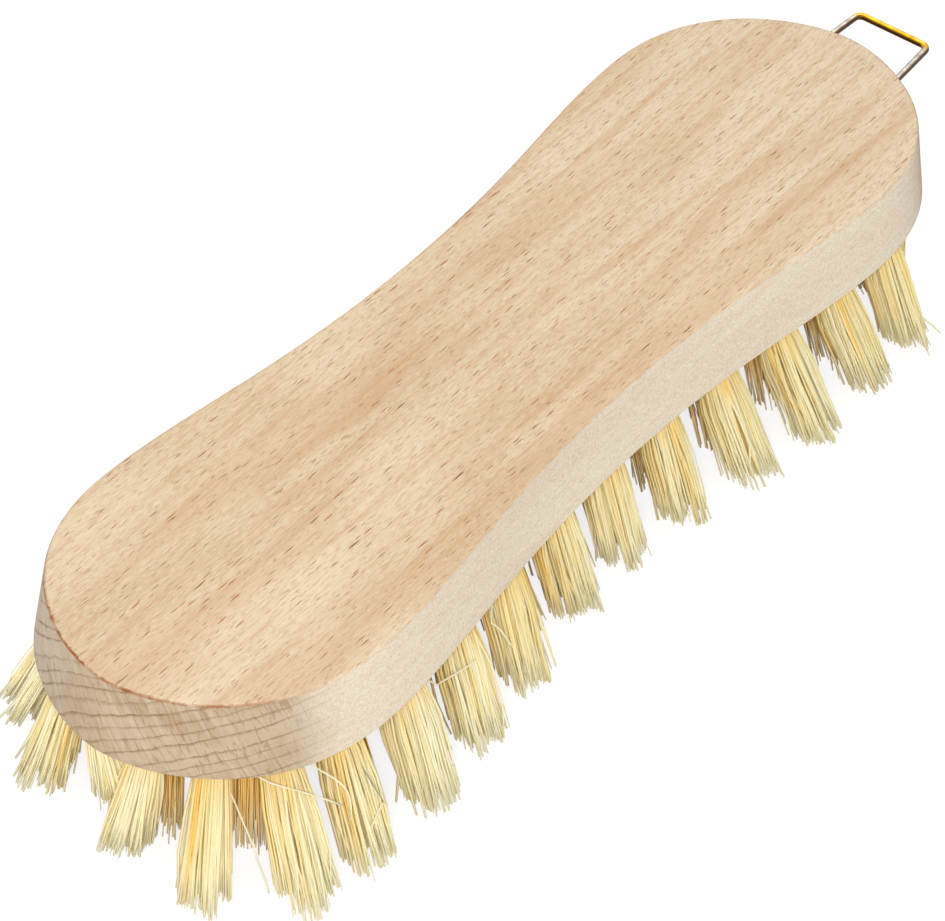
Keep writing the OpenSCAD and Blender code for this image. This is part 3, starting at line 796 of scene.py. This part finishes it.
def fibres(rng, tuft, count, ochre_and_painted_shade, shift, sides):
    """Fibres of one tuft: packed in the hole, spreading to a ragged, clumped end."""
    axis, across, away, mouth = directions(tuft)
    p, n, _, travel = tuft
    outwards, sideways, tip_r, above = shift
    n3 = np.array([n[0], n[1], 0.0])
    middle = np.array([p[0], p[1], above]) + n3 * (travel + outwards) + across * sideways
    k = np.arange(count)
    r = np.sqrt((k + 0.5) / count)
    a = k * GOLDEN_ANGLE + rng.uniform(0, 2 * math.pi)
    u, v = r * np.cos(a), r * np.sin(a)
    size = rng.uniform(THINNEST, THICKEST, count)
    root = mouth + ROOT_R * (u[:, None] * across + v[:, None] * away)

    # Tips gather in clumps, and each clump has its own length
    clumps = max(9, count // 14)
    ca = rng.uniform(0, 2 * math.pi, clumps)
    cr = np.sqrt(rng.uniform(0, 1, clumps))
    cu, cv = cr * np.cos(ca), cr * np.sin(ca)
    nearest = np.argmin((u[:, None] - cu) ** 2 + (v[:, None] - cv) ** 2, axis=1)
    pull = rng.uniform(0.20, 0.70, count)
    spread = np.where(rng.uniform(0, 1, count) < 0.15, 0.2, 0.06)
    tu = u + (cu[nearest] - u) * pull + rng.normal(0, 1, count) * spread
    tv = v + (cv[nearest] - v) * pull + rng.normal(0, 1, count) * spread
    over = np.maximum(1, np.hypot(tu, tv) / 1.08)
    tu, tv = tu / over, tv / over
    clump_short = rng.uniform(0, 2.6, clumps)
    short = clump_short[nearest] + np.abs(rng.normal(0, 0.5, count))
    short += np.where(rng.uniform(0, 1, count) < 0.10, rng.uniform(0.5, 4.5, count), 0)
    tip = middle + tip_r * (tu[:, None] * across + tv[:, None] * n3)
    tip = tip + (rng.normal(0, 0.22, (count, 3)) * [1, 1, 0])
    line = tip - root
    length = np.linalg.norm(line, axis=1)[:, None]
    way = line / length
    tip = tip - way * (short / np.maximum(0.3, -way[:, 2]))[:, None]
    tip[:, 2] = np.maximum(tip[:, 2], LOWEST)

    # Fibres bend a little, and a few bend much more
    line = tip - root
    bend = rng.normal(0, 0.42, (count, 3))
    much = np.where(rng.uniform(0, 1, count) < 0.08, 2.0, 0.0)[:, None]
    bend = bend + much * rng.normal(0, 1, (count, 3))
    opened = (tip_r / ROOT_R) * (root - mouth) * max(0.15, 0.66 - 0.9 * n[0] ** 2)
    c1 = (root + axis * length * 0.16 + 0.16 * line + opened)[:, None]
    c2 = (tip - line * 0.36 + bend * 0.8)[:, None]
    t = RINGS[None, :, None]
    path = ((1 - t) ** 3 * root[:, None] + 3 * (1 - t) ** 2 * t * c1
            + 3 * (1 - t) * t * t * c2 + t ** 3 * tip[:, None])
    path[..., 2] = np.maximum(path[..., 2], LOWEST)
    path = np.concatenate([(root - axis * ROOT_DEPTH)[:, None], path], axis=1)
    verts = fibre_rings(rng, path, across, size, sides)
    return verts, fibre_zones(rng, ochre_and_painted_shade, u, v, nearest, clumps, sides)


def fibre_faces(count, rings, sides, first):
    faces = []
    for f in range(count):
        base = first + f * rings * sides
        for r in range(rings - 1):
            a, b = base + r * sides, base + (r + 1) * sides
            faces += [(a + k, a + (k + 1) % sides, b + (k + 1) % sides, b + k)
                      for k in range(sides)]
        faces.append(tuple(base + k for k in range(sides))[::-1])
        end = base + (rings - 1) * sides
        faces.append(tuple(end + k for k in range(sides)))
    return faces


def stray(tuft, bends, sides):
    """One loose fibre from inside the tuft's hole past four points, as fibres() gives them."""
    axis, _, _, mouth = directions(tuft)
    fit = np.polyfit([0.25, 0.5, 0.75, 1.0], np.array(bends, float), 3)
    path = np.array([mouth - 3 * axis, mouth + 0.5 * axis]
                    + [np.polyval(fit, t) for t in np.linspace(0.25, 1, 8)])
    tangent = np.gradient(path, axis=0)
    e1 = np.cross(tangent, [0.3, 0.2, 0.93])
    e1 /= np.linalg.norm(e1, axis=1)[:, None]
    e2 = np.cross(tangent, e1)
    e2 /= np.linalg.norm(e2, axis=1)[:, None]
    angle = circle(sides)[None, :, None]
    verts = path[:, None] + STRAY_R * (np.cos(angle) * e1[:, None] + np.sin(angle) * e2[:, None])
    verts[..., 2] = np.maximum(verts[..., 2], 0.0)
    zones = np.ones((1, len(path), sides, 4))
    zones[..., 2] = 0.1
    return verts[None], zones


def tuft_piece(name, node, tufts, count, ochre_and_painted_shade, seed, shift, sides, strays=()):
    rng = np.random.default_rng(seed)
    grown = [fibres(rng, tuft, count, ochre_and_painted_shade, shift, sides) for tuft in tufts]
    grown += [stray(tufts[0], bends, sides) for bends in strays]
    verts, zones, faces, first = [], [], [], 0
    for v, z in grown:
        faces += fibre_faces(v.shape[0], v.shape[1], sides, first)
        verts.append(v.reshape(-1, 3))
        zones.append(z.reshape(-1, 4))
        first += v.shape[0] * v.shape[1] * sides
    piece = make_mesh(name, to_cad(np.vstack(verts)), faces, True, np.vstack(zones))
    piece.data.materials.append(FIBRE)
    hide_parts(node)
    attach(piece, "root")


block_piece()
loop_piece()
for i, tuft in enumerate(outer_tufts):
    tuft_piece("outer_bristles_%02d" % (i + 1), "outer_tuft_%02d" % (i + 1), [tuft],
               OUTER_COUNT, OUTER_PAINTED_SHADE, OUTER_SEED + i, TIP_SHIFTS.get(i, OUTER_SHIFT),
               OUTER_SIDES, STRAYS.get(i, ()))
for g, group in enumerate(inner_tufts):
    tuft_piece("inner_bristles_%02d" % (g + 1), "inner_tufts_%02d" % (g + 1), group,
               INNER_COUNT, INNER_PAINTED_SHADE, INNER_SEED + g, INNER_SHIFTS.get(g, INNER_SHIFT),
               INNER_SIDES)
tuft_piece("centre_bristles", "centre_tufts", centre_tufts,
           CENTRE_COUNT, CENTRE_PAINTED_SHADE, CENTRE_SEED, CENTRE_SHIFT, INNER_SIDES)
anchors = frame["nodes"]["tuft_anchors"]
anchors.data.materials.clear()
anchors.data.materials.append(ANCHOR)


# ---- floor, light and camera
FLOOR_HALF = 4.0
LAMP_TARGET = (0, 0, 0.03)
# Name, place, size and power of each lamp
LAMPS = (("key", (-0.69, -0.50, 0.75), 0.32, 6.6),
         ("front", (0.2, -1.1, 0.30), 0.7, 1.2),
         ("left", (-1.0, 0.45, 0.40), 0.6, 1.6),
         ("fill", (0.50, 0.25, 1.1), 1.0, 3.6))
# The camera that was fitted to the block's outline: its direction and roll in degrees, its
# distance and offsets in millimetres, and its focal length in pixels of the photograph's width
AZIMUTH, ELEVATION, ROLL = -54.0126, 44.0655, 2.4759
DISTANCE, OFFSET_RIGHT, OFFSET_UP, FOCAL = 686.9138, -6.3325, -22.5985, 3993.7007
PHOTO_WIDTH, SENSOR_WIDTH = 945, 36


def floor_material():
    """Glows nearly white to the camera and in reflections, and is plain and pale to the rest."""
    n = Nodes("floor")
    n.surface(Base_Color=(0.90, 0.90, 0.90, 1), Roughness=0.9, Specular_IOR_Level=0.1)
    soft = n.add("ShaderNodeBsdfDiffuse")
    soft.inputs[0].default_value = (0.34, 0.34, 0.34, 1)
    glow = n.add("ShaderNodeEmission")
    glow.inputs[0].default_value = (1, 1, 1, 1)
    glow.inputs[1].default_value = 0.78
    both = n.add("ShaderNodeAddShader")
    n.link(soft.outputs[0], both.inputs[0])
    n.link(glow.outputs[0], both.inputs[1])
    path = n.add("ShaderNodeLightPath")
    passing = n.larger(path.outputs["Is Glossy Ray"], path.outputs["Is Transmission Ray"])
    seen = n.larger(path.outputs["Is Camera Ray"], passing)
    mixed = n.add("ShaderNodeMixShader")
    n.link(seen, mixed.inputs[0])
    n.link(n.shader.outputs[0], mixed.inputs[1])
    n.link(both.outputs[0], mixed.inputs[2])
    n.link(mixed.outputs[0], n.out.inputs[0])
    return n.material


def floor():
    corners = [(x * FLOOR_HALF, y * FLOOR_HALF, 0)
               for x, y in ((-1, -1), (1, -1), (1, 1), (-1, 1))]
    obj = make_mesh("floor", corners, [(0, 1, 2, 3)], False)
    obj.data.materials.append(floor_material())


def world():
    """White to the camera and in reflections, and dimmer as a light."""
    w = bpy.data.worlds.new("studio")
    bpy.context.scene.world = w
    w.use_nodes = True
    t = w.node_tree
    t.nodes.clear()
    out = t.nodes.new("ShaderNodeOutputWorld")
    light, seen = t.nodes.new("ShaderNodeBackground"), t.nodes.new("ShaderNodeBackground")
    for background, strength in ((light, 0.38), (seen, 1.0)):
        background.inputs[0].default_value = (1, 1, 1, 1)
        background.inputs[1].default_value = strength
    path = t.nodes.new("ShaderNodeLightPath")
    either = t.nodes.new("ShaderNodeMath")
    either.operation = "MAXIMUM"
    t.links.new(path.outputs["Is Camera Ray"], either.inputs[0])
    t.links.new(path.outputs["Is Glossy Ray"], either.inputs[1])
    mixed = t.nodes.new("ShaderNodeMixShader")
    t.links.new(either.outputs[0], mixed.inputs[0])
    t.links.new(light.outputs[0], mixed.inputs[1])
    t.links.new(seen.outputs[0], mixed.inputs[2])
    t.links.new(mixed.outputs[0], out.inputs[0])


def lamp(name, place, size, power):
    light = bpy.data.lights.new(name, "AREA")
    light.shape, light.size, light.energy = "DISK", size, power
    obj = bpy.data.objects.new(name, light)
    bpy.context.scene.collection.objects.link(obj)
    obj.location = place
    obj.rotation_euler = (Vector(LAMP_TARGET) - Vector(place)).to_track_quat("-Z", "Y").to_euler()


def camera():
    az, el, roll = math.radians(AZIMUTH), math.radians(ELEVATION), math.radians(ROLL)
    back = Vector((math.sin(az) * math.cos(el), -math.cos(az) * math.cos(el), math.sin(el)))
    level_right = Vector((math.cos(az), math.sin(az), 0))
    level_up = back.cross(level_right)
    right = level_right * math.cos(roll) + level_up * math.sin(roll)
    up = -level_right * math.sin(roll) + level_up * math.cos(roll)
    aim = Vector((-ORIGIN_X, 0, TOP))
    place = (right * OFFSET_RIGHT + up * OFFSET_UP + back * DISTANCE + aim) * MM
    cam = bpy.data.cameras.new("camera")
    obj = bpy.data.objects.new("camera", cam)
    bpy.context.scene.collection.objects.link(obj)
    m = Matrix((right, up, back)).transposed().to_4x4()
    m.translation = place
    obj.matrix_world = m
    cam.sensor_fit, cam.sensor_width = "HORIZONTAL", SENSOR_WIDTH
    cam.lens = FOCAL * SENSOR_WIDTH / PHOTO_WIDTH
    cam.clip_start, cam.clip_end = 0.01, 50
    bpy.context.scene.camera = obj


floor()
world()
for name, place, size, power in LAMPS:
    lamp(name, place, size, power)
camera()
bpy.context.scene.view_settings.view_transform = "Standard"
bpy.context.scene.cycles.diffuse_bounces = 12
